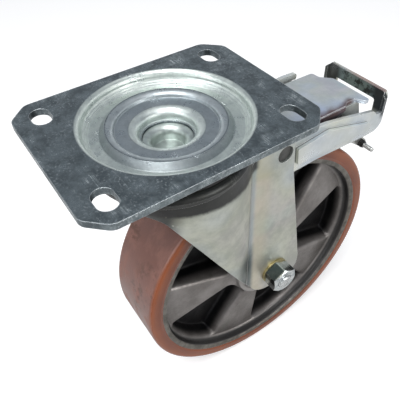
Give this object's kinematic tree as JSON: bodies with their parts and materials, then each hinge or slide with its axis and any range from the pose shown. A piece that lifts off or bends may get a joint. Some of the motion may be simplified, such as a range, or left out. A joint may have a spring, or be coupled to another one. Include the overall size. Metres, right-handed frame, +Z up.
{
  "type": "swivel castor",
  "caption": "Swivel castor with a slotted top plate, double ball race, flared pressed fork, cast wheel with a bonded tread and a trailing foot brake.",
  "frame": {"origin": "centre of the top plate's mounting face, on the swivel axis", "axes": "+Z up out of the mounting face, +Y towards the trailing wheel and the brake pedal, +X towards the side of the axle nut"},
  "size_m": [0.11, 0.23, 0.246],
  "materials": {
    "plate_steel": "pressed sheet, zinc plated, blue grey",
    "fork_steel": "pressed sheet, zinc plated",
    "brake_steel": "pressed sheet, zinc plated",
    "brake_web_steel": "pressed sheet, blue passivated",
    "fastener_steel": "turned and plated",
    "washer_zinc": "yellow passivated zinc",
    "dark_steel": "oiled",
    "ball_steel": "polished",
    "wheel_aluminium": "cast, turned at the rim and the hub",
    "tread_rubber": "cast polyurethane, reddish brown",
    "seal_rubber": "matt black",
    "nut_plastic": "matt black"
  },
  "bodies": {
    "plate": {"top_plate": "plate_steel", "kingpin": "fastener_steel", "race_sleeve": "dark_steel", "lower_race": "fork_steel"},
    "fork": {"fork": "fork_steel", "upper_balls": "ball_steel", "lower_balls": "ball_steel", "dust_seal": "seal_rubber", "axle_bolt": "fastener_steel", "axle_washers": "washer_zinc", "axle_nut": "fastener_steel", "axle_tube": "dark_steel", "axle_collars": "fastener_steel", "bearing_spacer": "dark_steel", "near_inner_ring": "ball_steel", "far_inner_ring": "ball_steel", "pivot_pin": "dark_steel", "pivot_washers": "fastener_steel"},
    "wheel": {"wheel_centre": "wheel_aluminium", "tread": "tread_rubber", "near_outer_ring": "ball_steel", "far_outer_ring": "ball_steel", "near_bearing_balls": "ball_steel", "far_bearing_balls": "ball_steel", "near_bearing_seals": "seal_rubber", "far_bearing_seals": "seal_rubber"},
    "pedal": {"brake_pedal": "brake_steel"},
    "shoe": {"brake_plate": "brake_web_steel", "brake_shoe": "brake_steel", "shoe_bolt": "fastener_steel", "shoe_nut": "nut_plastic", "return_spring": "dark_steel"}
  },
  "joints": [
    {"name": "swivel", "type": "hinge", "parent": "plate", "child": "fork", "pos_m": [0, 0, 0], "axis": [0, 0, 1], "continuous": true},
    {"name": "wheel_spin", "type": "hinge", "parent": "fork", "child": "wheel", "pos_m": [0, 0.06, -0.146], "axis": [1, 0, 0], "continuous": true},
    {"name": "brake_pedal", "type": "hinge", "parent": "fork", "child": "pedal", "pos_m": [0, 0.0596, -0.035], "axis": [-1, 0, 0], "range_deg": [0, 10], "stiffness_Nm_per_rad": 1.5, "springref_deg": -20.05},
    {"name": "brake_shoe", "type": "hinge", "parent": "fork", "child": "shoe", "pos_m": [0, 0.0596, -0.035], "axis": [-1, 0, 0], "range_deg": [0, 5], "stiffness_Nm_per_rad": 1, "springref_deg": -20.05}
  ],
  "couplings": [
    {"joint": "brake_shoe", "follows": "brake_pedal", "ratio": 0.5}
  ]
}
